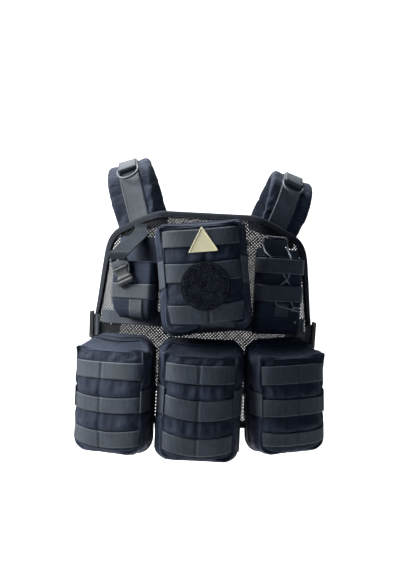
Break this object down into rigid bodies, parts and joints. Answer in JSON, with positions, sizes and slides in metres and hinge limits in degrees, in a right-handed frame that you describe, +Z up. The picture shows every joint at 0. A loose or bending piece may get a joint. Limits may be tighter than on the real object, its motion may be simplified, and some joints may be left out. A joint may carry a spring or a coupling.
{
  "type": "load-carrying vest",
  "caption": "Black net load-carrying vest with padded shoulder straps, zipped pouches with webbing rows, a radio pouch and a magazine pouch, shown as worn",
  "frame": {"origin": "between the shoulders, at the height of the undersides of the shoulder pads, where the wearer holds the vest up", "axes": "+Z up, the front faces -Y, -X is the wearer's right"},
  "size_m": [0.4393, 0.3286, 0.5413],
  "materials": {
    "cordura": "woven nylon, matt",
    "net": "open polyester net, matt",
    "tape": "woven binding tape, matt",
    "webbing": "ribbed nylon webbing, slightly lustrous",
    "acetal": "moulded, fine satin",
    "hook_and_loop": "loop pile, matt",
    "rubber": "moulded soft plastic, satin",
    "shock_cord": "braided sleeve, matt"
  },
  "bodies": {
    "d_ring_left": {"d_ring_left": "acetal"},
    "d_ring_right": {"d_ring_right": "acetal"},
    "vest": {"back_binding": "tape", "back_panel": "net", "buckle_plug": "acetal", "buckle_socket": "acetal", "front_binding": "tape", "front_panel": "net", "loop_patch": "hook_and_loop", "lower_pouch_left_back": "cordura", "lower_pouch_left_band_lower": "webbing", "lower_pouch_left_band_middle": "webbing", "lower_pouch_left_band_upper": "webbing", "lower_pouch_left_shell": "cordura", "lower_pouch_left_side_band_left": "webbing", "lower_pouch_left_side_band_right": "webbing", "lower_pouch_middle_back": "cordura", "lower_pouch_middle_band_lower": "webbing", "lower_pouch_middle_band_middle": "webbing", "lower_pouch_middle_band_upper": "webbing", "lower_pouch_middle_shell": "cordura", "lower_pouch_middle_side_band_left": "webbing", "lower_pouch_middle_side_band_right": "webbing", "lower_pouch_right_back": "cordura", "lower_pouch_right_band_lower": "webbing", "lower_pouch_right_band_middle": "webbing", "lower_pouch_right_band_upper": "webbing", "lower_pouch_right_shell": "cordura", "lower_pouch_right_side_band_left": "webbing", "lower_pouch_right_side_band_right": "webbing", "magazine_pouch_back": "cordura", "magazine_pouch_band_lower": "webbing", "magazine_pouch_band_upper": "webbing", "magazine_pouch_cord": "shock_cord", "magazine_pouch_shell": "cordura", "magazine_pouch_tab": "webbing", "panel_row": "webbing", "radio_pouch_back": "cordura", "radio_pouch_band": "webbing", "radio_pouch_shell": "cordura", "radio_pouch_strap": "webbing", "ring_keeper_left": "webbing", "ring_keeper_right": "webbing", "shoulder_pad_left": "cordura", "shoulder_pad_right": "cordura", "shoulder_webbing_left": "webbing", "shoulder_webbing_right": "webbing", "side_slider_left": "acetal", "side_slider_right": "acetal", "side_strap_left": "webbing", "side_strap_right": "webbing", "triangle_patch": "rubber", "upper_pouch_back": "cordura", "upper_pouch_band_lower": "webbing", "upper_pouch_band_middle": "webbing", "upper_pouch_band_upper": "webbing", "upper_pouch_shell": "cordura", "upper_pouch_side_band_left": "webbing", "upper_pouch_side_band_right": "webbing", "upper_pouch_tab": "webbing"}
  },
  "joints": [
    {"name": "d_ring_left_hinge", "type": "hinge", "parent": "vest", "child": "d_ring_left", "pos_m": [0.15205, -0.08598, -0.01501], "axis": [-0.9283, -0.102, 0.3576], "range_deg": [0, 120]},
    {"name": "d_ring_right_hinge", "type": "hinge", "parent": "vest", "child": "d_ring_right", "pos_m": [-0.15205, -0.08598, -0.00401], "axis": [-0.9283, 0.102, -0.3576], "range_deg": [0, 120]}
  ]
}
